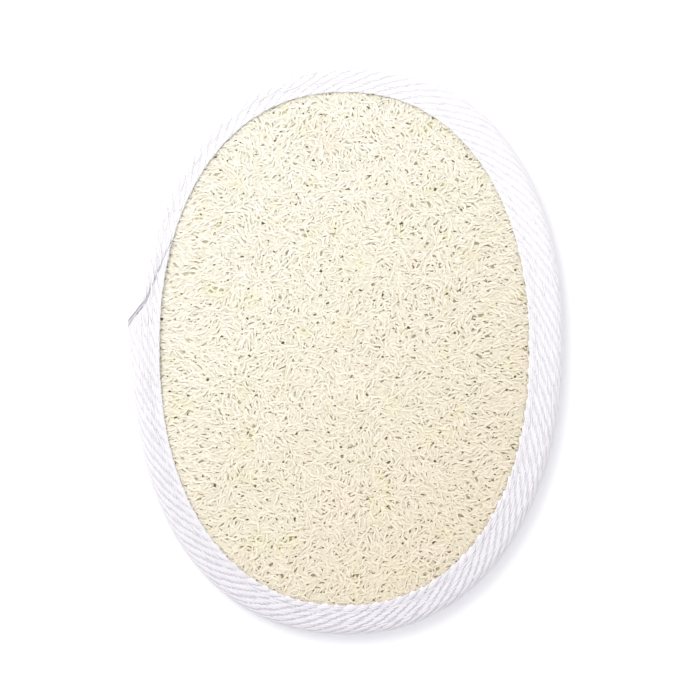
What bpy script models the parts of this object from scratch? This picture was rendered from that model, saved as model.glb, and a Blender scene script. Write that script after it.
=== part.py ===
"""Oval bath pad: a pressed loofah mat, its edge bound with folded white twill tape and sewn all round.

Units are metres and +Z is up. The pad lies on its back on the ground plane, its length along Y,
with its origin under the middle of its outline. The tape's lapped ends are on the -X side.
"""

import math
import random

import bmesh
import bpy
from mathutils import Matrix, Vector, noise
from mathutils.geometry import delaunay_2d_cdt

MM = 0.001

# Loofah face that the tape leaves open, a little squarer than an ellipse.
FACE_HALF_WIDTH = 48.6 * MM
FACE_HALF_LENGTH = 67.4 * MM
FACE_POWER = 2.2

# Outline of the bound edge. It sits askew on the face, so the tape covers more on the right.
RIM_HALF_WIDTH = 56.5 * MM
RIM_HALF_LENGTH = 75.0 * MM
RIM_POWER = 2.18
RIM_CENTRE = Vector((1.1 * MM, -0.2 * MM, 0.0))
RIM_TILT = math.radians(-2.1)

# Twill tape, folded round the edge.
HALF_HEIGHT = 4.2 * MM
TAPE_THICKNESS = 1.0 * MM
TAPE_SHOULDER = 2.4 * MM
FOLD_QUARTER = 1 - math.sqrt(0.5)
TAPE_STATIONS = 88
EDGE_PUCKER = 0.15 * MM

# Seam that holds the tape, drawn down into a valley.
SEAM_FROM_TAPE_EDGE = 1.9 * MM
SEAM_HALF_WIDTH = 1.1 * MM
SEAM_DEPTH = 1.05 * MM
STITCHES = 60
STITCH_RISE = 0.08 * MM
THREAD_RADIUS = 0.3 * MM
THREAD_CLEARANCE = 0.4 * MM

# Finishing end of the tape, cut aslant and lapped over the starting end, with a corner standing out.
LAP_EDGE_Y = 26.5 * MM
LAP_CORNER_Y = 6.5 * MM
LAP_TAIL_Y = -17.0 * MM
LAP_ROWS = (0.0, 0.1, 0.2, 0.3, 0.4, 0.55, 0.7, 0.85, 1.0)
LAP_LIFT = 0.75 * MM
LAP_SINK = 0.4 * MM
LAP_TAIL_SINK = 0.3 * MM
LAP_SET_BACK = 0.3 * MM
LAP_CORNER = 1.6 * MM
LAP_CORNER_SHARE = 0.5
LAP_CORNER_POWER = 1.2

# Clearance between pieces that touch in the real pad.
GAP = 0.3 * MM

# Loofah mat inside the tape. It swells towards its middle, more on the front than on the back.
MAT_EDGE_HEIGHT = HALF_HEIGHT - TAPE_THICKNESS - GAP
MAT_TUCKED_HEIGHT = 1.8 * MM
MAT_TUCK = 1.0 * MM
MAT_EDGE_ROUND = 0.4
FRONT_CROWN = 2.0 * MM
BACK_CROWN = 1.0 * MM
CROWN_POWER = 5.0
CROWN_ROUNDNESS = 0.7

# Raised net of strands on both faces of the mat.
NET_CELL = 6.0 * MM
NET_ROW = 0.87 * NET_CELL
NET_STRETCH = 1.5
NET_JITTER = 0.42
NET_WARP = 6.0 * MM
NET_WARP_SCALE = 22.0 * MM
NET_REACH = 1.012
NET_SEED_REACH = 0.99
STRAND_RISE = 1.3 * MM
STRAND_DIP = 0.4 * MM
CELL_FLOOR_SHARE = 0.76
CELL_DEPTH_SPREAD = 0.2
NET_SEED = 11

# Colours as linear red, green, blue.
LOOFAH_COLOUR = (0.86, 0.79, 0.60)
TAPE_COLOUR = (0.91, 0.91, 0.93)
THREAD_COLOUR = (0.93, 0.93, 0.94)


def clear_scene():
    for obj in list(bpy.data.objects):
        bpy.data.objects.remove(obj)


def make_material(name, colour, roughness):
    material = bpy.data.materials.new(name)
    material.use_nodes = True
    shader = material.node_tree.nodes["Principled BSDF"]
    shader.inputs["Base Color"].default_value = (*colour, 1.0)
    shader.inputs["Roughness"].default_value = roughness
    shader.inputs["Metallic"].default_value = 0.0
    return material


def object_from(name, bm, material):
    bmesh.ops.recalc_face_normals(bm, faces=bm.faces)
    mesh = bpy.data.meshes.new(name)
    bm.to_mesh(mesh)
    bm.free()
    mesh.materials.append(material)
    obj = bpy.data.objects.new(name, mesh)
    bpy.context.scene.collection.objects.link(obj)
    return obj


def signed_power(value, power):
    return math.copysign(abs(value) ** power, value)


def face_reach(x, y):
    """0 in the middle of the loofah's face and 1 at the tape's edge."""
    across = abs(x) / FACE_HALF_WIDTH
    along = abs(y) / FACE_HALF_LENGTH
    return (across**FACE_POWER + along**FACE_POWER) ** (1 / FACE_POWER)


def rim_at(turn):
    """Point of the outline at an angle from +X, anticlockwise from above."""
    x = RIM_HALF_WIDTH * signed_power(math.cos(turn), 2 / RIM_POWER)
    y = RIM_HALF_LENGTH * signed_power(math.sin(turn), 2 / RIM_POWER)
    return RIM_CENTRE + Matrix.Rotation(RIM_TILT, 3, "Z") @ Vector((x, y, 0.0))


def tape_cover(point, inward):
    """How far in from the rim the tape's edge lies, which is where the open face begins."""
    near, far = 0.0, 0.25 * FACE_HALF_WIDTH
    for _ in range(30):
        middle = (near + far) / 2
        spot = point + inward * middle
        near, far = (middle, far) if face_reach(spot.x, spot.y) > 1 else (near, middle)
    return near


class Station:
    """A place on the rim: its point, the direction inwards and how far the tape covers there."""

    def __init__(self, point, inward):
        self.point = point
        self.inward = inward
        self.cover = tape_cover(point, inward)

    def spot(self, inset, height):
        """Point at a distance in from the rim and a height over the middle plane."""
        return self.point + self.inward * inset + Vector((0.0, 0.0, HALF_HEIGHT + height))


class Rim:
    """The outline measured by length, anticlockwise from the +X side."""

    def __init__(self, samples=2880):
        self.points = [rim_at(math.tau * (i + 0.5) / samples) for i in range(samples)]
        self.lengths = [0.0]
        for i in range(samples):
            step = (self.points[(i + 1) % samples] - self.points[i]).length
            self.lengths.append(self.lengths[-1] + step)
        self.around = self.lengths[-1]

    def station(self, along):
        along %= self.around
        low, high = 0, len(self.points)
        while high - low > 1:
            middle = (low + high) // 2
            low, high = (middle, high) if self.lengths[middle] <= along else (low, middle)
        count = len(self.points)
        share = (along - self.lengths[low]) / (self.lengths[low + 1] - self.lengths[low])
        point = self.points[low].lerp(self.points[(low + 1) % count], share)
        run = self.points[(low + 2) % count] - self.points[low - 1]
        return Station(point, Vector((-run.y, run.x, 0.0)).normalized())

    def stations(self, count):
        return [self.station(self.around * k / count) for k in range(count)]

    def length_at_left(self, y):
        """Length along the outline where its left side crosses y."""
        count = len(self.points)
        left = range(count // 4, 3 * count // 4)
        nearest = min(left, key=lambda i: abs(self.points[i].y - y))
        return self.lengths[nearest]


def tape_outside(cover, pucker=0.0):
    """Outer line of the folded tape from its front edge to the fold, as inset and height."""
    seam = cover - SEAM_FROM_TAPE_EDGE
    return [
        (cover + pucker, HALF_HEIGHT),
        (seam + SEAM_HALF_WIDTH, HALF_HEIGHT),
        (seam, HALF_HEIGHT - SEAM_DEPTH),
        (seam - SEAM_HALF_WIDTH, HALF_HEIGHT),
        (TAPE_SHOULDER, HALF_HEIGHT),
        (FOLD_QUARTER * TAPE_SHOULDER, (1 - FOLD_QUARTER) * HALF_HEIGHT),
        (0.0, 0.0),
    ]


def tape_inside(cover, pucker=0.0):
    """Inner line of the folded tape from the fold to its front edge."""
    seam = cover - SEAM_FROM_TAPE_EDGE
    height = HALF_HEIGHT - TAPE_THICKNESS
    return [
        (TAPE_THICKNESS + GAP, height / 2),
        (TAPE_SHOULDER + GAP, height - SEAM_DEPTH / 2),
        (seam, height - SEAM_DEPTH),
        (seam + SEAM_HALF_WIDTH, height),
        (cover + pucker, height),
    ]


def turned_over(line):
    return [(inset, -height) for inset, height in reversed(line)]


def bridge_rows(bm, rows):
    """Faces between each closed loop of points and the next."""
    size = len(rows[0])
    for row, following in zip(rows, rows[1:]):
        for j in range(size):
            k = (j + 1) % size
            bm.faces.new((row[j], row[k], following[k], following[j]))


def tape_ring(rim, material):
    bm = bmesh.new()
    rows = []
    for k, station in enumerate(rim.stations(TAPE_STATIONS)):
        pucker = EDGE_PUCKER if k % 2 else -EDGE_PUCKER
        outside = tape_outside(station.cover, pucker)
        inside = tape_inside(station.cover, pucker)
        section = outside + turned_over(outside)[1:] + turned_over(inside) + inside
        rows.append([bm.verts.new(station.spot(*spot)) for spot in section])
    bridge_rows(bm, [*rows, rows[0]])
    return object_from("binding_tape", bm, material)


def away_from_tape(inset, height):
    """Direction out of the tape at a point of its outer line, as inset and height."""
    if inset >= TAPE_SHOULDER:
        return Vector((0.0, math.copysign(1.0, height)))
    return Vector((inset / TAPE_SHOULDER - 1, height / HALF_HEIGHT)).normalized()


def lap_end(rim, across):
    """Length along the rim of the slanted end: across is 0 at the tape's edge and 1 at the fold."""
    first = rim.length_at_left(LAP_EDGE_Y)
    return first + (rim.length_at_left(LAP_CORNER_Y) - first) * across


def lap_row(rim, share):
    """Outer and inner points of the lap at a share of its length from the slanted end to its tail."""
    tail = rim.length_at_left(LAP_TAIL_Y)
    lift = -LAP_TAIL_SINK if share == 1 else LAP_LIFT
    corner = LAP_CORNER * max(0.0, 1 - share / LAP_CORNER_SHARE) ** LAP_CORNER_POWER
    size = len(tape_outside(0.0)) + 1
    outer, inner = [], []
    for j in range(size):
        across = min(j, size - 2) / (size - 2)
        end = lap_end(rim, across)
        station = rim.station(end + (tail - end) * share)
        line = tape_outside(station.cover, -LAP_SET_BACK)
        line.append(turned_over(line)[1])
        spot = Vector(line[j])
        away = away_from_tape(*spot)
        is_fold, is_under = j == size - 2, j == size - 1
        raised = spot + away * (-LAP_TAIL_SINK if is_under else lift)
        raised.x -= corner if is_fold else 0.0
        outer.append(station.spot(*raised))
        inner.append(station.spot(*(spot - away * LAP_SINK)))
    return outer + list(reversed(inner))


def lap_layer(rim, material):
    """The finishing end of the tape: a second thickness, cut aslant, that sinks into the first."""
    bm = bmesh.new()
    rows = [[bm.verts.new(point) for point in lap_row(rim, share)] for share in LAP_ROWS]
    bridge_rows(bm, rows)
    half = len(rows[0]) // 2
    for row in (rows[0], rows[-1]):
        for j in range(half - 1):
            bm.faces.new((row[j], row[j + 1], row[-2 - j], row[-1 - j]))
    return object_from("tape_lap", bm, material)


def join(body, other):
    """Fuses the other object into the body and removes it."""
    boolean = body.modifiers.new("join", "BOOLEAN")
    boolean.operation = "UNION"
    boolean.solver = "MANIFOLD"
    boolean.object = other
    evaluated = body.evaluated_get(bpy.context.evaluated_depsgraph_get())
    joined = bpy.data.meshes.new_from_object(evaluated)
    body.modifiers.clear()
    body.data = joined
    bpy.data.objects.remove(other)


def seam_thread(name, rim, side, material):
    """One thread of the seam: it lies in the valley and rises a little between the needle's holes.

    side is 1 for the needle thread on the front and -1 for the bobbin thread on the back.
    """
    count = 2 * STITCHES
    step = rim.around / count
    lap_first = rim.length_at_left(LAP_EDGE_Y)
    lap_last = rim.length_at_left(LAP_TAIL_Y) + step
    bm = bmesh.new()
    rows = []
    for k, station in enumerate(rim.stations(count)):
        height = HALF_HEIGHT - SEAM_DEPTH + THREAD_CLEARANCE + THREAD_RADIUS
        height += STITCH_RISE if k % 2 else 0.0
        if side > 0 and lap_first < k * step < lap_last:
            height += LAP_LIFT
        inset = station.cover - SEAM_FROM_TAPE_EDGE
        section = [(math.cos(math.radians(turn)), math.sin(math.radians(turn))) for turn in (-90, 30, 150)]
        rows.append([
            bm.verts.new(station.spot(inset + THREAD_RADIUS * across, side * (height + THREAD_RADIUS * up)))
            for across, up in section
        ])
    bridge_rows(bm, [*rows, rows[0]])
    return object_from(name, bm, material)


def face_height(x, y, side):
    """Height of the net over the middle plane, swelling towards the middle of the mat."""
    reach = min(1.0, face_reach(x, y))
    crown = FRONT_CROWN if side > 0 else BACK_CROWN
    return MAT_EDGE_HEIGHT + crown * (1 - reach**CROWN_POWER) ** CROWN_ROUNDNESS


def net_point(u, v, side):
    """Place on the face of a point of the even pattern: stretched across the pad and warped."""
    x, y = u * NET_STRETCH, v
    warp = noise.noise_vector(Vector((x / NET_WARP_SCALE, y / NET_WARP_SCALE, NET_SEED * side))) * NET_WARP
    x, y = x + warp.x, y + warp.y
    pull = min(1.0, NET_REACH / max(face_reach(x, y), 1e-6))
    return Vector((x * pull, y * pull, 0.0))


def net_seeds(side):
    """Jittered centres of the net's cells, in the even pattern, past the face on all sides."""
    draw = random.Random(NET_SEED + side)
    columns = int(FACE_HALF_WIDTH / NET_STRETCH / NET_CELL) + 3
    rows = int(FACE_HALF_LENGTH / NET_ROW) + 3
    seeds = []
    for row in range(-rows, rows + 1):
        for column in range(-columns, columns + 1):
            u = (column + 0.5 * (row % 2) + draw.uniform(-NET_JITTER, NET_JITTER)) * NET_CELL
            v = row * NET_ROW + draw.uniform(-NET_JITTER, NET_JITTER) * NET_CELL
            seeds.append(Vector((u, v)))
    return seeds


def knots_round(seeds):
    """For each seed, the knots round its cell in order: a key and a place in the even pattern.

    The knots, where strands meet, are the middles of the triangles between neighbouring seeds.
    """
    rings = [[] for _ in seeds]
    for corners in delaunay_2d_cdt(seeds, [], [], 0, 1e-7)[2]:
        middle = sum((seeds[i] for i in corners), Vector((0.0, 0.0))) / 3
        for i in corners:
            rings[i].append((tuple(sorted(corners)), middle))
    for seed, ring in zip(seeds, rings):
        ring.sort(key=lambda knot: math.atan2(knot[1].y - seed.y, knot[1].x - seed.x))
    return rings


def raised_net(bm, side):
    """The net of one face: sunk cells with strands as ridges between them.

    It returns the loop of the net's outer knots.
    """
    draw = random.Random(NET_SEED + 2 * side)
    seeds = net_seeds(side)
    knots = {}
    for seed, ring in zip(seeds, knots_round(seeds)):
        centre = net_point(*seed, side)
        if face_reach(centre.x, centre.y) > NET_SEED_REACH:
            continue
        floor_drop = STRAND_RISE * (1 - CELL_DEPTH_SPREAD * draw.random())
        ridge, floor = [], []
        for key, middle in ring:
            place = net_point(*middle, side)
            if key not in knots:
                top = face_height(place.x, place.y, side) - STRAND_DIP * draw.random() ** 2
                knots[key] = bm.verts.new((place.x, place.y, HALF_HEIGHT + side * top))
            ridge.append(knots[key])
            low = centre.lerp(place, CELL_FLOOR_SHARE)
            height = face_height(low.x, low.y, side) - floor_drop
            floor.append(bm.verts.new((low.x, low.y, HALF_HEIGHT + side * height)))
        for j in range(len(ridge)):
            bm.faces.new((ridge[j - 1], ridge[j], floor[j], floor[j - 1]))
        bm.faces.new(floor)
    return boundary_loop(knots.values())


def turn_of(vertex):
    return math.atan2(vertex.co.y, vertex.co.x)


def boundary_loop(vertices):
    """The vertices with open edges in order round the origin, anticlockwise from the -X side."""
    start = min((v for v in vertices if v.is_boundary), key=turn_of)
    loop = [start]
    ways = [edge.other_vert(start) for edge in start.link_edges if edge.is_boundary]
    step = min(ways, key=lambda v: start.co.xy.angle_signed(v.co.xy))
    while step is not start:
        before = loop[-1]
        loop.append(step)
        ahead = [edge.other_vert(step) for edge in step.link_edges if edge.is_boundary]
        step = ahead[0] if ahead[1] is before else ahead[1]
    return loop


def rising_turns(loop):
    """Turn of each vertex of a loop and of its first one again, never falling."""
    turns = [turn_of(loop[0])]
    for before, after in zip(loop, loop[1:] + loop[:1]):
        change = (turn_of(after) - turn_of(before) + math.pi) % math.tau - math.pi
        turns.append(turns[-1] + change)
    for i in range(1, len(turns)):
        turns[i] = max(turns[i], turns[i - 1])
    return turns


def zip_loops(bm, first, second):
    """Triangles between two closed loops that both run anticlockwise round the origin."""
    first_turns, second_turns = rising_turns(first), rising_turns(second)
    i = j = 0
    while i < len(first) or j < len(second):
        here, there = first[i % len(first)], second[j % len(second)]
        first_is_next = j == len(second) or (i < len(first) and first_turns[i + 1] <= second_turns[j + 1])
        if first_is_next:
            i += 1
            bm.faces.new((here, first[i % len(first)], there))
        else:
            j += 1
            bm.faces.new((here, second[j % len(second)], there))


def mat_edge(station):
    """Upper half of the mat's edge inside the tape, from the face outwards, as inset and height."""
    return [
        (station.cover - MAT_TUCK, MAT_TUCKED_HEIGHT),
        (TAPE_SHOULDER + 2 * GAP, MAT_TUCKED_HEIGHT),
        (TAPE_THICKNESS + 2 * GAP, MAT_EDGE_ROUND * MAT_TUCKED_HEIGHT),
    ]


def loofah_pad(rim, material):
    """The mat: a net on each face and the tucked edge between them, inside the fold of the tape."""
    bm = bmesh.new()
    sections = []
    for station in rim.stations(TAPE_STATIONS):
        upper = mat_edge(station)
        sections.append([bm.verts.new(station.spot(*spot)) for spot in upper + turned_over(upper)])
    rows = list(zip(*sections))
    bridge_rows(bm, rows)
    for side, row in ((1, rows[0]), (-1, rows[-1])):
        start = min(range(len(row)), key=lambda i: turn_of(row[i]))
        zip_loops(bm, raised_net(bm, side), row[start:] + row[:start])
    return object_from("loofah_pad", bm, material)


def centre_outline(objects):
    """Puts the origin under the middle of the outline's box."""
    corners = [v.co for v in objects[0].data.vertices]
    xs = [c.x for c in corners]
    ys = [c.y for c in corners]
    middle = Vector(((min(xs) + max(xs)) / 2, (min(ys) + max(ys)) / 2, 0.0))
    for obj in objects:
        obj.location = -middle


def build():
    clear_scene()
    loofah = make_material("loofah", LOOFAH_COLOUR, 0.85)
    twill = make_material("twill_tape", TAPE_COLOUR, 0.8)
    cotton = make_material("sewing_thread", THREAD_COLOUR, 0.6)
    rim = Rim()
    tape = tape_ring(rim, twill)
    join(tape, lap_layer(rim, twill))
    pad = loofah_pad(rim, loofah)
    needle = seam_thread("needle_thread", rim, 1, cotton)
    bobbin = seam_thread("bobbin_thread", rim, -1, cotton)
    for obj in (needle, bobbin):
        obj.data.shade_smooth()
    centre_outline([tape, pad, needle, bobbin])


build()
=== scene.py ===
"""Oval bath pad: pressed loofah bound with white twill tape, lying on a white floor and seen from above."""
import math

import bpy
import numpy as np
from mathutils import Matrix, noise


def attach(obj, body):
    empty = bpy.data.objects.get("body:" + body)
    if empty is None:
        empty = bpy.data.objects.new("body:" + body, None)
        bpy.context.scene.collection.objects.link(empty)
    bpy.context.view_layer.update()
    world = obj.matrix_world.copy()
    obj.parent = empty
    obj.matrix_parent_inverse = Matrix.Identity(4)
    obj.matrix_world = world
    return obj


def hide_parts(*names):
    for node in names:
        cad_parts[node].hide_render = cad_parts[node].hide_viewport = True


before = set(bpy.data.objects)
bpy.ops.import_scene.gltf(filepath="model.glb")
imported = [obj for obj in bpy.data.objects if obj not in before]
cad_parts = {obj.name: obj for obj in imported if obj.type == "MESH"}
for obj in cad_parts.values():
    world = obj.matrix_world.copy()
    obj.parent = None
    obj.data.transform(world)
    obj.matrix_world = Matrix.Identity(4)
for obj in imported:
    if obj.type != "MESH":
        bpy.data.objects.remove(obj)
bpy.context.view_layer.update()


# Pressed loofah mat
#
# The wall of a ripe loofah, opened, dried and pressed. It is one felt of fibres, so its body is a
# closed cushion that swells towards its middle, tucked in all round under the tape.

MM = 0.001
FACE_CENTRE = np.array((-0.10, 0.20)) * MM
FACE_HALF = np.array((48.6, 67.4)) * MM
FACE_POWER = 2.2
MIDDLE = 4.2 * MM
MAT_EDGE = 3.5 * MM
CROWN = {"front": 1.4 * MM, "back": 0.4 * MM}
LUMP_HEIGHT, LUMP, SMALL_LUMP = 0.25 * MM, 9 * MM, 4 * MM
FIBRE_BED = 0.55 * MM
RINGS, AROUND = 36, 180
UNDER_TAPE = 1.03
PIT_STRETCH, PIT_SCALE, PIT_EDGE = (0.72, 1.0, 0.0), 0.8, (0.74, 0.80)
# The bed's tan and brown are darker than the fibres: painted shade of the felt's depths, seen in the gaps
# between fibres. Its deep tone is darker painted shade, and its green is the loofah's own.
BED_TAN, BED_BROWN = (0.42, 0.38, 0.25, 1), (0.31, 0.275, 0.165, 1)
BED_DEEP_SHADE, BED_GREEN = (0.20, 0.17, 0.07, 1), (0.42, 0.37, 0.09, 1)
BED_LAMP_LIGHT, BED_PIT_SHADE = (0.68, 0.63, 0.47, 1), (0.10, 0.085, 0.03, 1)


class Value:
    """An output of a node, which adds Math nodes to its tree when it is used in an expression."""

    def __init__(self, nodes, socket):
        self.nodes, self.socket = nodes, socket

    def output(self, name):
        return Value(self.nodes, self.socket.node.outputs[name])

    def math(self, operation, *numbers):
        return self.nodes.math(operation, self, *numbers)

    def __add__(self, other):
        return self.math("ADD", other)

    def __radd__(self, other):
        return self.nodes.math("ADD", other, self)

    def __sub__(self, other):
        return self.math("SUBTRACT", other)

    def __rsub__(self, other):
        return self.nodes.math("SUBTRACT", other, self)

    def __mul__(self, other):
        return self.math("MULTIPLY", other)

    def __rmul__(self, other):
        return self.nodes.math("MULTIPLY", other, self)

    def __pow__(self, other):
        return self.math("POWER", other)

    def __abs__(self):
        return self.math("ABSOLUTE")

    def clamped(self):
        return self.math("MINIMUM", 1.0).math("MAXIMUM", 0.0)

    def rising(self, low, high):
        """0 below low, 1 above high and smooth between them."""
        return self.nodes.add(
            "ShaderNodeMapRange", {"interpolation_type": "SMOOTHSTEP"},
            {"Value": self, "From Min": low, "From Max": high},
        )


class Nodes:
    """A node tree that is written as expressions."""

    def __init__(self, tree):
        self.tree = tree

    def add(self, kind, settings=None, sockets=None, output=0):
        """A node of a kind, with its settings and then its sockets' values or links."""
        node = self.tree.nodes.new(kind)
        for name, setting in (settings or {}).items():
            setattr(node, name, setting)
        for name, value in (sockets or {}).items():
            if isinstance(value, Value):
                self.tree.links.new(value.socket, node.inputs[name])
            else:
                node.inputs[name].default_value = value
        return Value(self, node.outputs[output]) if node.outputs else None

    def math(self, operation, *numbers):
        return self.add("ShaderNodeMath", {"operation": operation}, dict(enumerate(numbers)))

    def vector(self, operation, *vectors, output=0, **sockets):
        sockets = dict(enumerate(vectors)) | sockets
        return self.add("ShaderNodeVectorMath", {"operation": operation}, sockets, output)

    def xyz(self, x, y, z):
        return self.add("ShaderNodeCombineXYZ", None, {0: x, 1: y, 2: z})

    def noise(self, place, scale, detail=2.0, roughness=0.5, output=0):
        return self.add(
            "ShaderNodeTexNoise", None,
            {"Vector": place, "Scale": scale, "Detail": detail, "Roughness": roughness}, output,
        )

    def mix(self, share, first, second):
        """Two colours mixed."""
        return self.add("ShaderNodeMix", {"data_type": "RGBA"}, {0: share, 6: first, 7: second}, 2)

    def parts(self, place):
        """The x, y and z of a vector."""
        x = self.add("ShaderNodeSeparateXYZ", None, {0: place})
        return x, x.output("Y"), x.output("Z")

    def attribute(self, name):
        """A number that the piece's mesh carries, for its material."""
        return self.add("ShaderNodeAttribute", {"attribute_name": name}, output="Fac")


def finish(name, roughness):
    """A new material, its node tree and its shader, which has a fixed roughness until one is linked."""
    material = bpy.data.materials.new(name)
    material.use_nodes = True
    shader = material.node_tree.nodes["Principled BSDF"]
    shader.inputs["Roughness"].default_value = roughness
    shader.inputs["Specular IOR Level"].default_value = 0.25
    return material, Nodes(material.node_tree), shader


def link(value, shader, socket):
    value.nodes.tree.links.new(value.socket, shader.inputs[socket])


def roughen(shader, strength, depth, height):
    """Small relief over a finish."""
    bump = {"Strength": strength, "Distance": depth, "Height": height}
    link(height.nodes.add("ShaderNodeBump", None, bump), shader, "Normal")


def object_place(nodes):
    """Places on the object, in millimetres."""
    return nodes.vector("SCALE", nodes.add("ShaderNodeTexCoord", output="Object"), Scale=1 / MM)


def pits(nodes, place):
    """1 in the small pits where the felt is open, 0 between them."""
    place = nodes.vector("MULTIPLY", place, PIT_STRETCH)
    return nodes.add(
        "ShaderNodeTexNoise", {"noise_dimensions": "2D"}, {"Vector": place, "Scale": PIT_SCALE, "Detail": 1.0},
    ).rising(*PIT_EDGE)


def green_places(nodes, place):
    """1 where the loofah has kept some green, 0 where it has turned cream."""
    return nodes.noise(nodes.vector("ADD", place, (31.0, 0.0, 0.0)), 0.11, 2.0).rising(0.55, 0.7)


def piece_from(name, points, faces, material, smooth=True):
    """A piece of the object from its points and faces."""
    mesh = bpy.data.meshes.new(name)
    mesh.from_pydata([tuple(p) for p in points], [], faces)
    mesh.validate()
    mesh.materials.append(material)
    if smooth:
        mesh.shade_smooth()
    piece = bpy.data.objects.new(name, mesh)
    bpy.context.scene.collection.objects.link(piece)
    return piece


def mat_height(x, y, side):
    """Height of the loofah's surface at a place, where the mat lies on its back on the floor."""
    across, along = (np.abs(np.array((x, y)) - FACE_CENTRE) / FACE_HALF) ** FACE_POWER
    reach = min(1.0, across + along) ** (1 / FACE_POWER)
    swell = MAT_EDGE + CROWN[side] * (1 - reach**5) ** 0.7
    lumps = noise.noise((x / LUMP, y / LUMP, 3.0 if side == "front" else 8.0))
    lumps += 0.5 * noise.noise((x / SMALL_LUMP, y / SMALL_LUMP, 5.0 if side == "front" else 9.0))
    swell += LUMP_HEIGHT * lumps * (1 - reach**8)
    return MIDDLE + (swell if side == "front" else -swell)


def face_rings(side):
    """Points and faces of one side's bed of felt, in rings from its middle outwards to under the tape."""
    down = -FIBRE_BED if side == "front" else FIBRE_BED
    points = [(*FACE_CENTRE, mat_height(*FACE_CENTRE, side) + down)]
    for ring in range(1, RINGS + 1):
        share = UNDER_TAPE * (ring / RINGS) ** 0.9
        for step in range(AROUND):
            turn = math.tau * step / AROUND
            c, s = math.cos(turn), math.sin(turn)
            place = FACE_CENTRE + share * FACE_HALF * np.array((
                math.copysign(abs(c) ** (2 / FACE_POWER), c), math.copysign(abs(s) ** (2 / FACE_POWER), s),
            ))
            points.append((*place, mat_height(*place, side) + down))
    faces = [(0, 1 + j, 1 + (j + 1) % AROUND) for j in range(AROUND)]
    for ring in range(RINGS - 1):
        first = 1 + ring * AROUND
        for j in range(AROUND):
            k = (j + 1) % AROUND
            faces.append((first + j, first + AROUND + j, first + AROUND + k, first + k))
    return points, faces


front_points, front_faces = face_rings("front")
back_points, back_faces = face_rings("back")
shift = len(front_points)
body_faces = front_faces + [tuple(shift + i for i in reversed(face)) for face in back_faces]
for j in range(AROUND):
    k = (j + 1) % AROUND
    top, low = shift - AROUND, shift + len(back_points) - AROUND
    body_faces.append((top + k, top + j, low + j, low + k))

bed, nodes, shader = finish("loofah_bed", 0.95)
place = object_place(nodes)
# Painted shade: noise patches of the bed darkened towards the deep tone.
deep_shade = nodes.noise(place, 0.55, 3.0).rising(0.53, 0.66) * 0.7
tan = nodes.mix(nodes.noise(place, 0.12, 2.0), BED_TAN, BED_BROWN)
tan = nodes.mix(deep_shade, tan, BED_DEEP_SHADE)
tan = nodes.mix(green_places(nodes, place) * 0.8, tan, BED_GREEN)
x, y, _ = nodes.parts(place)
# Painted light: the bed lighter towards the upper left, where the lamp stands.
lamp_side_light = (y * 0.008 - x * 0.01 + 0.15).clamped()
tan = nodes.mix(lamp_side_light * 0.6, tan, BED_LAMP_LIGHT)
# Painted shade in the small pits where the felt is open.
link(nodes.mix(pits(nodes, place), tan, BED_PIT_SHADE), shader, "Base Color")
roughen(shader, 0.6, 0.3 * MM, nodes.noise(place, 1.6, 4.0))
mat_body = piece_from("loofah_felt_body", front_points + back_points, body_faces, bed)
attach(mat_body, "root")
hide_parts("loofah_pad")


# Loofah fibres
#
# The veins of the gourd, dried to cream coloured fibres half a millimetre thick. They wind over and
# under each other in every direction, and run straight across the pad near its long sides.

CREAM, IVORY = (0.765, 0.735, 0.628, 1), (0.855, 0.825, 0.725, 1)
WARM_SHADE_CREAM, GREEN_CREAM, PINK_CREAM = (0.745, 0.655, 0.505, 1), (0.75, 0.70, 0.45, 1), (0.82, 0.71, 0.61, 1)
DUSKY, LOW_FIBRE_SHADE, PIT_SHADE_FIBRE = (0.62, 0.55, 0.37, 1), (0.565, 0.52, 0.38, 1), (0.12, 0.10, 0.04, 1)

fibre, nodes, shader = finish("loofah_fibre", 0.8)
place = object_place(nodes)
x, y, _ = nodes.parts(place)
# Painted shade: the fibres darker and warmer towards the lower right, away from the lamp.
warm_shade = (x * 0.006 - y * 0.0085 + 0.4).clamped()
pale = nodes.mix(nodes.attribute("fibre_tone"), CREAM, IVORY)
pale = nodes.mix(warm_shade * 0.85, pale, WARM_SHADE_CREAM)
pink = nodes.noise(nodes.vector("ADD", place, (0.0, 57.0, 0.0)), 0.09, 2.0).rising(0.6, 0.75)
pale = nodes.mix(green_places(nodes, place) * 0.3, pale, GREEN_CREAM)
pale = nodes.mix(pink * 0.5, pale, PINK_CREAM)
pale = nodes.mix(nodes.noise(place, 2.0, 3.0).rising(0.52, 0.75) * 0.35, pale, DUSKY)
# Painted shade: the lower layers of fibres darker, as they lie deeper in the felt.
pale = nodes.mix(nodes.attribute("fibre_depth_shade") * 0.8, pale, LOW_FIBRE_SHADE)
# Painted shade in the small pits where the felt is open, on the fibres too.
link(nodes.mix(pits(nodes, place), pale, PIT_SHADE_FIBRE), shader, "Base Color")
link(nodes.noise(place, 1.0, 2.0) * 0.3 + 0.62, shader, "Roughness")
roughen(shader, 0.35, 0.1 * MM, nodes.noise(place, 6.0, 3.0))


def named_tree(name, sockets):
    """A Geometry Nodes tree with named inputs, as (name, kind, default), and one output."""
    tree = bpy.data.node_groups.new(name, "GeometryNodeTree")
    tree.interface.new_socket("Geometry", in_out="OUTPUT", socket_type="NodeSocketGeometry")
    tree.interface.new_socket("Geometry", in_out="INPUT", socket_type="NodeSocketGeometry")
    for label, kind, value in sockets:
        socket = tree.interface.new_socket(label, in_out="INPUT", socket_type=kind)
        if value is not None:
            socket.default_value = value
    return Nodes(tree)


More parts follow.
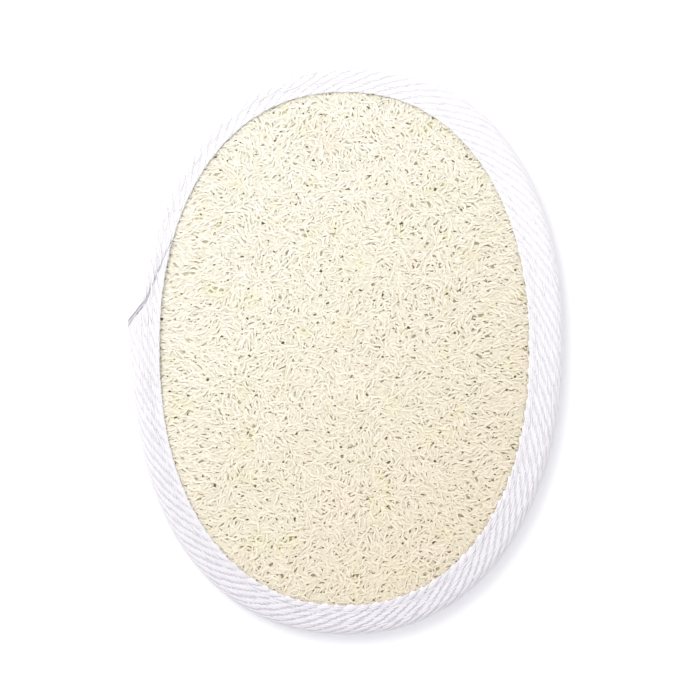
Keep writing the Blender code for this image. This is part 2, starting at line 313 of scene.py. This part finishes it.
def grown(name, points, faces, tree, values, ways=None):
    """A plain mesh piece that a Geometry Nodes tree makes from a mesh, with some inputs set.

    ways are vector attributes of the mesh's points, by name.
    """
    base = bpy.data.meshes.new(name + "_base")
    base.from_pydata([tuple(p) for p in points], [], faces)
    for label, vectors in (ways or {}).items():
        base.attributes.new(label, "FLOAT_VECTOR", "POINT").data.foreach_set("vector", np.ravel(vectors))
    holder = bpy.data.objects.new(name + "_base", base)
    bpy.context.scene.collection.objects.link(holder)
    modifier = holder.modifiers.new(name, "NODES")
    modifier.node_group = tree
    for item in tree.interface.items_tree:
        if item.in_out == "INPUT" and item.name in values:
            modifier[item.identifier] = values[item.name]
    made = holder.evaluated_get(bpy.context.evaluated_depsgraph_get())
    mesh = bpy.data.meshes.new_from_object(made)
    bpy.data.objects.remove(holder)
    mesh.name = name
    piece = bpy.data.objects.new(name, mesh)
    bpy.context.scene.collection.objects.link(piece)
    return piece


STRAIGHT_SIDES = (22.0, 44.0)
SWIRL, SPREAD = 11.0, 1.8
WANDER, BOW, WAVE = 1.6 * MM, 0.38, 0.16
FLATTENED = 0.38
DENSEST = 6e6

nodes = named_tree("wound_fibres", [
    ("Spacing", "NodeSocketFloat", 1.0 * MM),
    ("Thickness", "NodeSocketFloat", 0.55 * MM),
    ("Length", "NodeSocketFloat", 2.7 * MM),
    ("Rise", "NodeSocketFloat", 0.75 * MM),
    ("Seed", "NodeSocketInt", 1),
    ("Material", "NodeSocketMaterial", None),
])
given = nodes.add("NodeGroupInput")
bed_face = given.output("Geometry")
scatter = nodes.add(
    "GeometryNodeDistributePointsOnFaces", {"distribute_method": "POISSON"},
    {
        "Mesh": bed_face, "Distance Min": given.output("Spacing"), "Density Max": DENSEST,
        "Seed": given.output("Seed"),
    },
)


def random_share(seed):
    return nodes.add("FunctionNodeRandomValue", {"data_type": "FLOAT"}, {2: 0.0, 3: 1.0, "Seed": seed}, 1)


toned = nodes.add(
    "GeometryNodeStoreNamedAttribute", {"data_type": "FLOAT", "domain": "POINT"},
    {"Geometry": scatter, "Name": "fibre_tone", "Value": random_share(given.output("Seed") + 3)},
)
# How low the layer lies, for the painted shade of the lower fibres.
toned = nodes.add(
    "GeometryNodeStoreNamedAttribute", {"data_type": "FLOAT", "domain": "POINT"},
    {"Geometry": toned, "Name": "fibre_depth_shade", "Value": 1.0 - abs(given.output("Rise")) * (2 / MM)},
)
place = nodes.add("GeometryNodeInputPosition")
place_mm = nodes.vector("SCALE", place, Scale=1 / MM)
to_side = abs(nodes.parts(place_mm)[0]).rising(*STRAIGHT_SIDES)
swirl = (nodes.noise(place_mm, 0.11, 2.0) - 0.5) * SWIRL
heading = swirl * (1 - to_side * 0.8) + (random_share(7) - 0.5) * SPREAD * (1 - to_side * 0.35)
rod = nodes.add("GeometryNodeCurvePrimitiveLine", None, {"Start": (-0.5, 0, 0), "End": (0.5, 0, 0)})
rod = nodes.add("GeometryNodeResampleCurve", None, {"Curve": rod, "Count": 4})
long = given.output("Length") * (0.55 + random_share(8) * 0.9)
rods = nodes.add(
    "GeometryNodeInstanceOnPoints", None,
    {
        "Points": toned, "Instance": rod,
        "Rotation": nodes.xyz(0.0, 0.0, heading), "Scale": nodes.xyz(long, 1.0, 1.0),
    },
)
rods = nodes.add("GeometryNodeRealizeInstances", None, {"Geometry": rods})
share = nodes.add("GeometryNodeSplineParameter")
from_middle = abs(share * 2.0 - 1.0)
tone = nodes.add("GeometryNodeInputNamedAttribute", {"data_type": "FLOAT"}, {"Name": "fibre_tone"})
bend = (tone * 17.0).math("FRACT") - 0.5
wander = nodes.vector("SUBTRACT", nodes.noise(place_mm, 0.6, 1.0, output=1), (0.5, 0.5, 0.5))
wander = nodes.vector("MULTIPLY", wander, (WANDER, WANDER, 0.0))
side_way = nodes.vector("CROSS_PRODUCT", nodes.add("GeometryNodeInputTangent"), (0.0, 0.0, 1.0))
bow = bend * given.output("Length") * BOW * (1.0 - from_middle * from_middle)
bow = nodes.vector("SCALE", side_way, Scale=bow)
wound = nodes.add(
    "GeometryNodeSetPosition", None, {"Geometry": rods, "Offset": nodes.vector("ADD", wander, bow)},
)
near = nodes.add("GeometryNodeProximity", {"target_element": "FACES"}, {0: bed_face})
lift = (tone * 5.0).math("FRACT") * 0.75 + 0.25
wave = ((share * 1.4 + (tone * 11.0).math("FRACT")) * math.tau).math("SINE") * WAVE
height = given.output("Rise") * (lift + wave - from_middle**4.0 * 0.75) * (1.0 - pits(nodes, place_mm))
wound = nodes.add(
    "GeometryNodeSetPosition", None,
    {"Geometry": wound, "Position": nodes.vector("ADD", near, nodes.xyz(0.0, 0.0, height))},
)
radius = given.output("Thickness") * (0.4 + (tone * 23.0).math("FRACT") * 0.25)
radius = radius * (1.0 - from_middle**3.0 * 0.45)
wound = nodes.add("GeometryNodeSetCurveNormal", {"mode": "Z_UP"}, {"Curve": wound})
section = nodes.add("GeometryNodeCurvePrimitiveCircle", None, {"Resolution": 3, "Radius": 1.0})
section = nodes.add(
    "GeometryNodeTransform", None,
    {"Geometry": section, "Rotation": (0, 0, math.pi / 2), "Scale": (FLATTENED, 1.0, 1.0)},
)
strands = nodes.add(
    "GeometryNodeCurveToMesh", None,
    {"Curve": wound, "Profile Curve": section, "Fill Caps": True, "Scale": radius},
)
strands = nodes.add("GeometryNodeSetShadeSmooth", None, {"Geometry": strands, "Shade Smooth": False})
strands = nodes.add("GeometryNodeRealizeInstances", None, {"Geometry": strands})
strands = nodes.add(
    "GeometryNodeSetMaterial", None, {"Geometry": strands, "Material": given.output("Material")},
)
nodes.add("NodeGroupOutput", None, {0: strands})
fibre_tree = nodes.tree

for name, points, faces, rise, spacing, thickness, seed in (
    ("front_fibres_low", front_points, front_faces, 0.22 * MM, 0.95 * MM, 0.9 * MM, 11),
    ("front_fibres_middle", front_points, front_faces, 0.36 * MM, 0.90 * MM, 0.54 * MM, 12),
    ("front_fibres_top", front_points, front_faces, 0.5 * MM, 0.90 * MM, 0.5 * MM, 13),
    ("back_fibres_low", back_points, back_faces, -0.25 * MM, 1.25 * MM, 0.95 * MM, 14),
    ("back_fibres_top", back_points, back_faces, -0.5 * MM, 1.15 * MM, 0.7 * MM, 15),
):
    values = {"Spacing": spacing, "Thickness": thickness, "Rise": rise, "Seed": seed, "Material": fibre}
    fibres = grown(name, points, faces, fibre_tree, values)
    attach(fibres, "root")


# Binding tape
#
# One length of white cotton twill tape, folded over the mat's edge and sewn on all round. Its finishing
# end is cut aslant and lapped over the starting end on the left, with its corner standing out past the fold.

RIM_CENTRE = np.array((1.0, 0.0)) * MM
RIM_HALF = np.array((56.5, 75.0)) * MM
RIM_POWER = 2.18
RIM_TILT = math.radians(-2.1)
FOLD_DEPTH, FOLD_START = 2.4 * MM, 0.2 * MM
CLOTH = 0.55 * MM
CLOTH_HALF = 3.98 * MM
SEAM_INSET = 1.9 * MM
SEAM_DIP = 0.3 * MM
LAP_EDGE_Y, LAP_CORNER_Y = 30.5 * MM, 9.0 * MM
LAP_FALL_Y, LAP_TAIL_Y, UNDER_END_Y = -2.0 * MM, -16.8 * MM, 1.5 * MM
LAP_LIFT, LAP_BACK, LAP_BLEND = 0.7 * MM, 3.5 * MM, 3 * MM
UNDER_SINK, UNDER_SLOPE = CLOTH + 0.15 * MM, (-9 * MM, 1 * MM)
LAP_CORNER, CORNER_REACH = 1.6 * MM, 11 * MM
LAP_BOW = 0.75
SPOUT, SPOUT_WIDTH = 1.9 * MM, 1.6 * MM
CURL, CURL_REACH = 0.1 * MM, 1.2 * MM
CREASES, CREASE_HEIGHT, CREASE_WIDTH = (1.2 * MM, 2.8 * MM, 4.4 * MM), 0.3 * MM, 0.3 * MM
CREASE_SLANT, CREASE_START, CREASE_END = 0.14, (0, 4 * MM), (9 * MM, 20 * MM)
SEAM_WIDTH = 0.7 * MM
WIDEST_COVER = 12 * MM
END_ROWS, SLANTED_ROWS = (0, 0.4, 0.8, 1.2, 1.6), 60 * MM

turns = math.tau * (np.arange(2880) + 0.5) / 2880
ovals = RIM_HALF * np.stack(
    [np.sign(w) * np.abs(w) ** (2 / RIM_POWER) for w in (np.cos(turns), np.sin(turns))], 1,
)
lean = np.array(((math.cos(RIM_TILT), -math.sin(RIM_TILT)), (math.sin(RIM_TILT), math.cos(RIM_TILT))))
rim = RIM_CENTRE + ovals @ lean.T
rim_steps = np.linalg.norm(np.roll(rim, -1, 0) - rim, axis=1)
rim_along = np.concatenate([[0.0], np.cumsum(rim_steps)])
AROUND_RIM = rim_along[-1]
rim_run = np.roll(rim, -1, 0) - np.roll(rim, 1, 0)
rim_inward = np.stack([-rim_run[:, 1], rim_run[:, 0]], 1) / np.linalg.norm(rim_run, axis=1)[:, None]
near, far = np.zeros(len(rim)), np.full(len(rim), WIDEST_COVER)
for _ in range(30):
    half_way = (near + far) / 2
    spots = np.abs(rim + rim_inward * half_way[:, None] - FACE_CENTRE) / FACE_HALF
    covered = (spots**FACE_POWER).sum(1) > 1
    near, far = np.where(covered, half_way, near), np.where(covered, far, half_way)
rim_cover = near


def at_rim(along, values):
    """A value of the rim at lengths along it, anticlockwise from its right side."""
    values = np.concatenate([values, values[:1]])
    return np.interp(along % AROUND_RIM, rim_along, values)


def left_along(y):
    """Length along the rim where its left side crosses y."""
    left = slice(len(rim) // 4, 3 * len(rim) // 4)
    return rim_along[left][np.abs(rim[left, 1] - y).argmin()]


TOP_TURN_END = left_along(LAP_TAIL_Y) + 20 * MM

fold_turn = np.linspace(0, math.pi, 61)
fold_line = np.stack(
    [FOLD_DEPTH * (1 - np.sin(fold_turn)) + FOLD_START, CLOTH_HALF * np.cos(fold_turn)], 1,
)
fold_along = np.concatenate([[0], np.cumsum(np.linalg.norm(np.diff(fold_line, axis=0), axis=1))])
FOLD = fold_along[-1]


def tape_width(along):
    return 2 * (at_rim(along, rim_cover) - FOLD_DEPTH) + FOLD


def rising(value, low, high):
    share = np.clip((value - low) / (high - low), 0, 1)
    return share * share * (3 - 2 * share)


def folded(along, across):
    """Inset from the outline, height and turn of the folded tape, so far across it from its front edge."""
    on_fold = across - (at_rim(along, rim_cover) - FOLD_DEPTH)
    inset, height = (np.interp(on_fold, fold_along, fold_line[:, i]) for i in (0, 1))
    inset = inset + np.maximum(-on_fold, 0) + np.maximum(on_fold - FOLD, 0)
    return inset, height, np.interp(on_fold, fold_along, fold_turn)


def cut_along(along, across):
    """Length along the rim of the slanted end, at a distance across the tape from its front edge."""
    inset, _, turn = folded(along, across)
    share = np.where(turn < math.pi / 2, np.clip(1 - inset / at_rim(along, rim_cover), 0, 1), 1)
    first, last = left_along(LAP_EDGE_Y), left_along(LAP_CORNER_Y)
    spout = SPOUT * np.where(turn < math.pi / 2, np.clip(1 - inset / SPOUT_WIDTH, 0, 1), 1)
    return first + (last - first) * (1 + LAP_BOW - LAP_BOW * share) * share + spout


def tape_spot(along, across, out, lapped):
    """Point out of the folded tape's outer face. lapped is 1 on the finishing end's turn, -1 under it."""
    along, across, out = np.broadcast_arrays(along, across, out)
    inset, height, turn = folded(along, across)
    away_in, away_up = -np.sin(turn), np.cos(turn)
    dip = SEAM_DIP * np.exp(-(((inset - at_rim(along, rim_cover) + SEAM_INSET) / SEAM_WIDTH) ** 2))
    from_cut = along - cut_along(along, across)
    beside = rising(tape_width(along) / 2 + LAP_BACK - across, 0, LAP_BLEND)
    on_top = (1 - rising(along, left_along(LAP_FALL_Y), left_along(LAP_TAIL_Y))) * LAP_LIFT
    curled = CURL * (1 - rising(from_cut, 0, CURL_REACH))
    fading = rising(from_cut, *CREASE_START) * (1 - rising(from_cut, *CREASE_END))
    for place in CREASES:
        crease = np.exp(-(((inset - place - CREASE_SLANT * from_cut) / CREASE_WIDTH) ** 2))
        curled = curled + CREASE_HEIGHT * crease * fading
    lift = np.where(lapped > 0, on_top * beside - curled * beside, 0.0)
    past_cut = along - AROUND_RIM - cut_along(along, across)
    sunk = rising(past_cut, *UNDER_SLOPE) * (1 - beside) * UNDER_SINK
    lift = np.where(lapped < 0, -sunk, lift)
    corner = LAP_CORNER * np.clip(1 - from_cut / CORNER_REACH, 0, 1) ** 1.1
    corner = corner * np.clip(1 - inset / FOLD_DEPTH, 0, 1)
    out = out + lift - dip * (np.abs(away_up) > 0.99)
    inset = inset + away_in * out - np.where(lapped > 0, corner, 0.0)
    height = height + away_up * out
    x, y = (at_rim(along, rim[:, i]) + inset * at_rim(along, rim_inward[:, i]) for i in (0, 1))
    return np.stack([x, y, MIDDLE + height], -1)


def outer_side(along):
    """How far to the lower right of the pad a place on the rim lies."""
    return at_rim(along, rim[:, 0]) - at_rim(along, rim[:, 1])


def strip_coordinates(rows, columns):
    """Places on the whole tape from its slanted end to its hidden one: along the rim, across, and lapped."""
    share = np.linspace(0, 1, columns)[None, :]
    length = AROUND_RIM + left_along(UNDER_END_Y) - left_along(LAP_CORNER_Y)
    steps = np.linspace(0, 1, rows - len(END_ROWS) + 1)[1:, None]
    steps = steps * (length + left_along(LAP_CORNER_Y) - left_along(LAP_EDGE_Y))
    steps = np.concatenate([np.array(END_ROWS)[:, None] * MM, steps])
    straight = left_along(LAP_EDGE_Y) + steps + 0 * share
    across = tape_width(straight) * share
    slant = cut_along(straight, across) - left_along(LAP_EDGE_Y)
    along = straight + slant * (1 - rising(steps, 0, SLANTED_ROWS))
    across = tape_width(along) * share
    return along, across


def cotton_finish(name, light, dim, far):
    """White cotton between two tones, and a darker third towards the end of the pad that is away from the
    light: painted shade.
    """
    material, nodes, shader = finish(name, 0.85)
    place = object_place(nodes)
    far_side_shade = (nodes.parts(place)[1] * -0.009 + 0.3).clamped()
    white = nodes.mix(far_side_shade, nodes.mix(nodes.noise(place, 0.25, 3.0), light, dim), far)
    link(nodes.noise(place, 1.5, 2.0) * 0.2 + 0.72, shader, "Roughness")
    roughen(shader, 0.4, 0.1 * MM, nodes.noise(place, 5.0, 3.0))
    return material, nodes, shader, white


SELVEDGE_WHITE, CUT_SHADOW_GREY = (0.79, 0.775, 0.78, 1), (0.24, 0.23, 0.27, 1)
# The weft is set darker than the warp yarns: painted shade between the yarns, which also darkens the outer
# fold where the yarns sink.
weft, nodes, shader, white = cotton_finish(
    "shaded_twill_weft", light=(0.75, 0.735, 0.75, 1), dim=(0.71, 0.695, 0.71, 1), far=(0.53, 0.505, 0.535, 1),
)
white = nodes.mix(nodes.attribute("selvedge"), white, SELVEDGE_WHITE)
# Painted shadow: a grey line along the cut edge of the lapped end.
link(nodes.mix(nodes.attribute("cut_shadow"), white, CUT_SHADOW_GREY), shader, "Base Color")

ROWS, COLUMNS = 420, 34
CUT_SHADOW_ROWS = (0.8, 0.9, 0.35)
WALE = AROUND_RIM / round(AROUND_RIM / (3.9 * MM))
SCALLOP, MORE_SCALLOP, SCALLOP_GROWS = 0.2 * MM, 0.35 * MM, (-20 * MM, 60 * MM)
along, across = strip_coordinates(ROWS, COLUMNS)
lapped = np.where(along < TOP_TURN_END, 1, 0)
lapped = np.where(along > AROUND_RIM, -1, lapped)
scallop = SCALLOP + MORE_SCALLOP * rising(outer_side(along), *SCALLOP_GROWS)
scallop = scallop * (1 - 2 * (along / WALE % 1))
edge = np.zeros_like(along)
edge[:, 0], edge[:, -1] = scallop[:, 0], -scallop[:, -1]
outer = tape_spot(along, across + edge, 0.0, lapped)
inner = tape_spot(along, across + edge, -CLOTH, lapped)
points = np.concatenate([outer.reshape(-1, 3), inner.reshape(-1, 3)])
index = np.arange(ROWS * COLUMNS).reshape(ROWS, COLUMNS)
under = index + ROWS * COLUMNS
faces = []
for i in range(ROWS - 1):
    for j in range(COLUMNS - 1):
        faces.append((index[i, j], index[i, j + 1], index[i + 1, j + 1], index[i + 1, j]))
        faces.append((under[i, j], under[i + 1, j], under[i + 1, j + 1], under[i, j + 1]))
    faces.append((index[i, 0], index[i + 1, 0], under[i + 1, 0], under[i, 0]))
    faces.append((index[i, -1], under[i, -1], under[i + 1, -1], index[i + 1, -1]))
for j in range(COLUMNS - 1):
    faces.append((index[0, j], under[0, j], under[0, j + 1], index[0, j + 1]))
    faces.append((index[-1, j], index[-1, j + 1], under[-1, j + 1], under[-1, j]))
cloth = piece_from("binding_tape_cloth", points, [tuple(int(i) for i in face) for face in faces], weft)
marks = {label: np.zeros((2, ROWS, COLUMNS), np.float32) for label in ("cut_shadow", "selvedge")}
column = np.arange(COLUMNS)
# How dark the painted shadow line along the cut edge is, row by row and across the tape.
shade = (0.8 + 0.2 * rising(column, 1, 4)) * (1 - 0.6 * rising(column, 12, 17))
marks["cut_shadow"][:, :3] = np.array(CUT_SHADOW_ROWS)[:, None] * shade
marks["selvedge"][:, :, :2] = marks["selvedge"][:, :, -2:] = 1.0
for label, amounts in marks.items():
    cloth.data.attributes.new(label, "FLOAT", "POINT").data.foreach_set("value", amounts.ravel())
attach(cloth, "root")
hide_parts("binding_tape")


# Twill weave
#
# The white cotton warp yarns of the tape, woven into its outer face. Each floats over the weft for a
# few millimetres and dives under it a step later than its neighbour, which makes the slanting lines.

YARN_PITCH = 0.5 * MM
WALE_STEP = 1.1 * MM
BARE_END, HIDDEN_END = 2.9 * MM, 0.4 * MM
YARN_TILT = 0.12
YARN_OUT, SUNK_AT_FOLD, FOLD_REACH = 0.02 * MM, 0.14 * MM, 1.9 * MM
UNEVEN_ALONG, UNEVEN_ACROSS, UNEVEN_OUT, MOST_UNEVEN = 0.33, 0.04, 0.05, 1.6 * MM
WIDEST_TAPE, HIDDEN_TURN = 25 * MM, 25 * MM

cotton, nodes, shader, white = cotton_finish(
    "white_twill", light=(0.815, 0.80, 0.81, 1), dim=(0.78, 0.765, 0.775, 1), far=(0.70, 0.675, 0.70, 1),
)
link(white, shader, "Base Color")

nodes = named_tree("laid_yarns", [
    ("Length", "NodeSocketFloat", 3.85 * MM),
    ("Width", "NodeSocketFloat", 0.62 * MM),
    ("Height", "NodeSocketFloat", 0.6 * MM),
    ("Sides", "NodeSocketInt", 6),
    ("Rings", "NodeSocketInt", 4),
    ("Material", "NodeSocketMaterial", None),
])
given = nodes.add("NodeGroupInput")
yarn = nodes.add(
    "GeometryNodeMeshUVSphere", None,
    {"Segments": given.output("Sides"), "Rings": given.output("Rings"), "Radius": 0.5},
)
yarn = nodes.add("GeometryNodeTransform", None, {"Geometry": yarn, "Rotation": (0, math.pi / 2, 0)})
x, y, z = nodes.parts(nodes.add("GeometryNodeInputPosition"))
blunt = x.math("SIGN") * (abs(x) * 2.0) ** 0.6 * 0.5
yarn = nodes.add("GeometryNodeSetPosition", None, {"Geometry": yarn, "Position": nodes.xyz(blunt, y, z)})
yarn = nodes.add(
    "GeometryNodeTransform", None,
    {
        "Geometry": yarn,
        "Scale": nodes.xyz(given.output("Length"), given.output("Width"), given.output("Height")),
    },
)
yarn = nodes.add("GeometryNodeSetShadeSmooth", None, {"Geometry": yarn})
out_way, yarn_way = (
    nodes.add("GeometryNodeInputNamedAttribute", {"data_type": "FLOAT_VECTOR"}, {"Name": name})
    for name in ("out_way", "yarn_way")
)
turned = nodes.add(
    "FunctionNodeAxesToRotation", {"primary_axis": "Z", "secondary_axis": "X"},
    {"Primary Axis": out_way, "Secondary Axis": yarn_way},
)
laid = nodes.add("GeometryNodeInstanceOnPoints", None, {"Points": given, "Instance": yarn, "Rotation": turned})
laid = nodes.add("GeometryNodeRealizeInstances", None, {"Geometry": laid})
laid = nodes.add("GeometryNodeSetMaterial", None, {"Geometry": laid, "Material": given.output("Material")})
nodes.add("NodeGroupOutput", None, {0: laid})
yarn_tree = nodes.tree


def yarn_places(first, last):
    """Where warp yarns float, along the rim and across the tape, between two lengths along the rim."""
    spots = []
    for k in range(int(WIDEST_TAPE / YARN_PITCH)):
        across = (k + 0.6) * YARN_PITCH
        shift = (k * WALE_STEP) % WALE
        steps = np.arange(math.floor(first / WALE) - 1, math.ceil(last / WALE) + 1)
        along = steps * WALE - shift
        keep = (along > first) & (along < last) & (across < tape_width(along) - 0.4 * YARN_PITCH)
        spots.append(np.stack([along[keep], np.full(keep.sum(), across)], 1))
    return np.concatenate(spots)


def yarn_frame(along, across, out, lapped, tilt=0.0):
    """Points, ways out of the tape and ways along the yarns."""
    small = 0.05 * MM
    here = tape_spot(along, across, out, lapped)
    out_way = tape_spot(along, across, out + small, lapped) - here
    yarn_way = tape_spot(along + small, across - small * tilt, out, lapped) - here
    return here, out_way, yarn_way


top_first, top_last = left_along(LAP_EDGE_Y), left_along(LAP_EDGE_Y) + AROUND_RIM
spots = yarn_places(top_first, top_last + HIDDEN_TURN)
along, across = spots[:, 0], spots[:, 1]
cut = cut_along(along, across)
keep = (along > cut + BARE_END) & (along < AROUND_RIM + cut - HIDDEN_END)
along, across = along[keep], across[keep]
lapped = np.where(along < TOP_TURN_END, 1, np.where(along > AROUND_RIM, -1, 0))
on_fold = np.exp(-((folded(along, across)[0] / FOLD_REACH) ** 4))
uneven = np.random.default_rng(6).normal(0, MM, (3, len(along)))
uneven = np.clip(uneven, -MOST_UNEVEN, MOST_UNEVEN)
out = YARN_OUT - SUNK_AT_FOLD * on_fold + UNEVEN_OUT * uneven[2]
along, across = along + UNEVEN_ALONG * uneven[0], across + UNEVEN_ACROSS * uneven[1]
here, out_way, yarn_way = yarn_frame(along, across, out, lapped, YARN_TILT)
weave = grown(
    "twill_yarns", here, [], yarn_tree, {"Material": cotton}, {"out_way": out_way, "yarn_way": yarn_way},
)
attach(weave, "root")


# Seam
#
# A lockstitch of white sewing thread, made by machine through the tape and the mat that it holds, close
# to the tape's inner edge. The needle's thread lies along the front and the bobbin's along the back.

STITCHES = 128
STITCH_SHARE, THREAD_WIDTH, THREAD_HEIGHT = 0.86, 0.38 * MM, 0.36 * MM
THREAD_GREY, THREAD_WHITE = (0.70, 0.69, 0.71, 1), (0.74, 0.73, 0.75, 1)

thread, nodes, shader = finish("sewing_thread", 0.6)
place = object_place(nodes)
link(nodes.mix(nodes.noise(place, 0.8, 2.0), THREAD_GREY, THREAD_WHITE), shader, "Base Color")
roughen(shader, 0.5, 0.1 * MM, nodes.noise(place, 8.0, 2.0))
along = AROUND_RIM * (np.arange(STITCHES) + 0.5) / STITCHES
values = {
    "Length": STITCH_SHARE * AROUND_RIM / STITCHES, "Width": THREAD_WIDTH, "Height": THREAD_HEIGHT,
    "Sides": 8, "Rings": 6, "Material": thread,
}
for name, node, across in (
    ("needle_stitches", "needle_thread", np.full(STITCHES, SEAM_INSET)),
    ("bobbin_stitches", "bobbin_thread", tape_width(along) - SEAM_INSET),
):
    lapped = np.where((along > cut_along(along, across)) & (along < TOP_TURN_END), 1, 0)
    here, out_way, yarn_way = yarn_frame(along, across, 0.06 * MM, lapped)
    stitches = grown(name, here, [], yarn_tree, values, {"out_way": out_way, "yarn_way": yarn_way})
    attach(stitches, "root")
    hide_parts(node)


# Floor, light and camera
#
# A matt white studio floor that reaches out of sight. Most of the light is even and comes from all
# round, and a large soft lamp stands at the upper left. The camera looks straight down.

FLOOR_WHITE, ROUND_WHITE, ROUND_STRENGTH = (0.93, 0.93, 0.935, 1), (0.97, 0.97, 1.0, 1), 1.06
LAMP_PLACE, LAMP_SIZE, LAMP_POWER = (-0.26, 0.30, 0.60), 0.42, 2.5

floor_finish, nodes, shader = finish("studio_floor", 0.9)
shader.inputs["Base Color"].default_value = FLOOR_WHITE
corners = [(-2, -2, 0), (2, -2, 0), (2, 2, 0), (-2, 2, 0)]
floor = piece_from("floor", corners, [(0, 1, 2, 3)], floor_finish, smooth=False)

world = bpy.data.worlds.new("studio")
bpy.context.scene.world = world
world.use_nodes = True
world.node_tree.nodes["Background"].inputs["Color"].default_value = ROUND_WHITE
world.node_tree.nodes["Background"].inputs["Strength"].default_value = ROUND_STRENGTH
lamp = bpy.data.lights.new("softbox", "AREA")
lamp.shape, lamp.size, lamp.energy = "SQUARE", LAMP_SIZE, LAMP_POWER
softbox = bpy.data.objects.new("softbox", lamp)
softbox.location = LAMP_PLACE
softbox.rotation_euler = (-softbox.location).to_track_quat("-Z", "Y").to_euler()
bpy.context.scene.collection.objects.link(softbox)

FRAME_WIDTH, FRAME_CENTRE = 184.1 * MM, (1.35 * MM, -0.13 * MM)
LENS, SENSOR = 150.0, 36.0
lens = bpy.data.cameras.new("camera")
lens.lens, lens.sensor_width = LENS, SENSOR
lens.clip_start, lens.clip_end = 0.01, 20.0
camera = bpy.data.objects.new("camera", lens)
camera.location = (*FRAME_CENTRE, MIDDLE + FRAME_WIDTH * LENS / SENSOR)
bpy.context.scene.collection.objects.link(camera)
bpy.context.scene.camera = camera
bpy.context.scene.view_settings.view_transform = "Standard"
